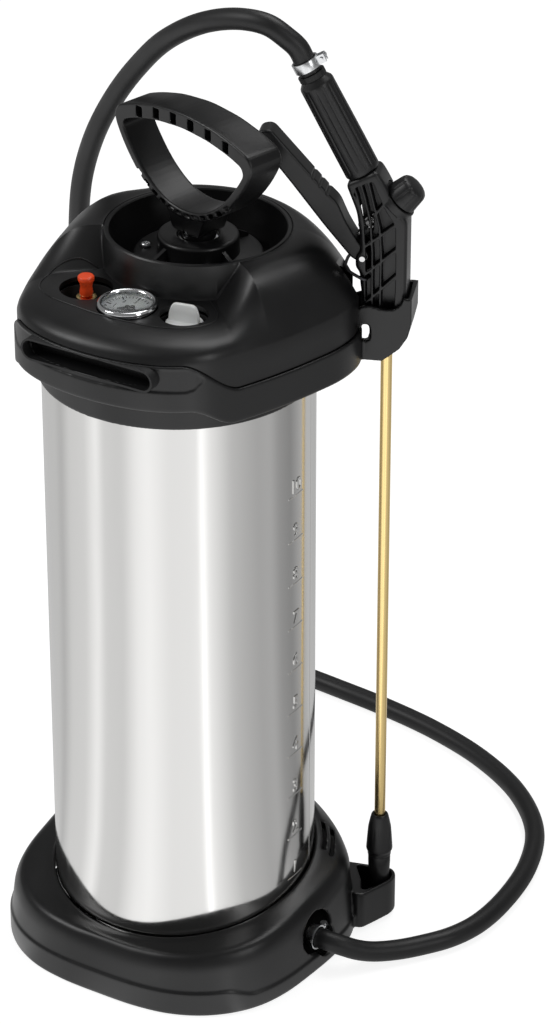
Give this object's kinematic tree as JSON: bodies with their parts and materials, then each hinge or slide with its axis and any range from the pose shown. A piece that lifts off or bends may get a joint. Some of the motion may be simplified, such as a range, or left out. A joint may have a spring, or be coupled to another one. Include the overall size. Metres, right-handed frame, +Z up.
{
  "type": "compression sprayer",
  "caption": "Upright compression sprayer: steel tank on a moulded foot, head with plunger pump, gauge and relief valve, hose and hand gun with a straight brass lance.",
  "frame": {"origin": "on the tank axis, at the floor, on the underside of the foot", "axes": "+Z up along the tank; -Y the front with gauge and grip slot; +X the side with the hose outlet and the gun"},
  "size_m": [0.421, 0.4527, 0.7085],
  "materials": {
    "stainless": "satin",
    "black_plastic": "satin",
    "black_fitting": "matte",
    "rubber": "matte",
    "brass": "polished",
    "zinc": "zinc plated",
    "steel_wire": "drawn",
    "chrome": "polished",
    "red_plastic": "gloss",
    "white_plastic": "satin",
    "grey_plastic": "matte",
    "clear": "clear"
  },
  "bodies": {
    "sprayer": {"tank_shell": "stainless", "outlet_elbow": "brass", "outlet_seal": "rubber", "outlet_nut": "brass", "base_foot": "black_plastic", "head_housing": "black_plastic", "head_skirt": "black_plastic", "head_screw_1": "zinc", "head_screw_2": "zinc", "head_screw_3": "zinc", "head_screw_4": "zinc", "neck_ring": "grey_plastic", "neck_seal": "rubber", "pump_barrel": "black_fitting", "valve_retainer": "brass", "pump_cap": "black_plastic", "cap_screw_1": "zinc", "cap_screw_2": "zinc", "rod_guide": "white_plastic", "gauge_stem": "brass", "gauge_case": "black_fitting", "gauge_dial": "white_plastic", "gauge_lens": "clear", "gauge_bezel": "chrome", "relief_body": "brass", "air_port": "black_fitting", "outlet_clamp": "zinc", "hose": "rubber"},
    "check_valve": {"check_valve": "rubber"},
    "piston": {"piston": "white_plastic", "piston_seal": "rubber", "piston_nut": "zinc"},
    "handle": {"piston_rod": "steel_wire", "handle": "black_plastic", "handle_pin": "zinc"},
    "gauge_needle": {"gauge_needle": "black_fitting"},
    "relief_valve": {"relief_knob": "red_plastic", "relief_seal": "rubber", "relief_spring": "steel_wire"},
    "air_plug": {"air_plug": "white_plastic"},
    "gun": {"gun_body": "black_plastic", "gun_grip": "black_plastic", "grip_filter": "brass", "hose_tail": "black_fitting", "gun_clamp": "zinc", "lance_seal": "rubber", "lance_nut": "brass", "lance_tube": "brass", "trigger_pin": "steel_wire", "valve_seal": "rubber", "nozzle_nut": "black_plastic", "nozzle_seal": "rubber", "valve_spring": "steel_wire"},
    "trigger": {"trigger": "black_plastic"},
    "spindle": {"valve_spindle": "steel_wire"},
    "latch": {"trigger_latch": "steel_wire"},
    "valve_knob": {"valve_knob": "black_plastic"},
    "nozzle": {"nozzle_head": "black_plastic", "nozzle_insert": "brass"}
  },
  "joints": [
    {"name": "pump_stroke", "type": "slide", "parent": "sprayer", "child": "piston", "axis": [0, 0, 1], "range_m": [0, 0.24]},
    {"name": "handle_turn", "type": "hinge", "parent": "piston", "child": "handle", "pos_m": [0, 0.026, 0.55], "axis": [0, 0, 1], "range_deg": [-90, 0]},
    {"name": "check_valve_lift", "type": "slide", "parent": "sprayer", "child": "check_valve", "axis": [0, 0, -1], "range_m": [0, 0.003], "stiffness_N_per_m": 20, "springref_m": -0.001},
    {"name": "needle_sweep", "type": "hinge", "parent": "sprayer", "child": "gauge_needle", "pos_m": [0, -0.062, 0.526], "axis": [0, 0, -1], "range_deg": [0, 270]},
    {"name": "relief_pull", "type": "slide", "parent": "sprayer", "child": "relief_valve", "axis": [0, 0, 1], "range_m": [0, 0.003], "stiffness_N_per_m": 150, "springref_m": -0.002, "deforming": ["relief_spring"]},
    {"name": "plug_pull", "type": "slide", "parent": "sprayer", "child": "air_plug", "axis": [0, 0, 1], "range_m": [0, 0.012]},
    {"name": "gun_lift", "type": "slide", "parent": "sprayer", "child": "gun", "axis": [0, 0, 1], "range_m": [0, 0.06], "deforming": ["hose"]},
    {"name": "trigger_squeeze", "type": "hinge", "parent": "gun", "child": "trigger", "pos_m": [0.10416, 0.07351, 0.54], "axis": [-0.3746, 0.9272, 0], "range_deg": [0, 12], "stiffness_Nm_per_rad": 0.5, "springref_deg": -8.59},
    {"name": "spindle_slide", "type": "slide", "parent": "gun", "child": "spindle", "axis": [0.6556, 0.2649, 0.7071], "range_m": [0, 0.003], "deforming": ["valve_spring"]},
    {"name": "latch_swing", "type": "hinge", "parent": "gun", "child": "latch", "pos_m": [0.10695, 0.07463, 0.525], "axis": [-0.3746, 0.9272, 0], "range_deg": [-60, 8]},
    {"name": "knob_turn", "type": "hinge", "parent": "gun", "child": "valve_knob", "pos_m": [0.12688, 0.08268, 0.582], "axis": [0.6556, 0.2649, 0.7071], "continuous": true},
    {"name": "nozzle_turn", "type": "hinge", "parent": "gun", "child": "nozzle", "pos_m": [0.119, 0.0795, 0.03], "axis": [0, 0, 1], "continuous": true}
  ],
  "couplings": [
    {"joint": "spindle_slide", "follows": "trigger_squeeze", "m_per_rad": 0.0124}
  ]
}
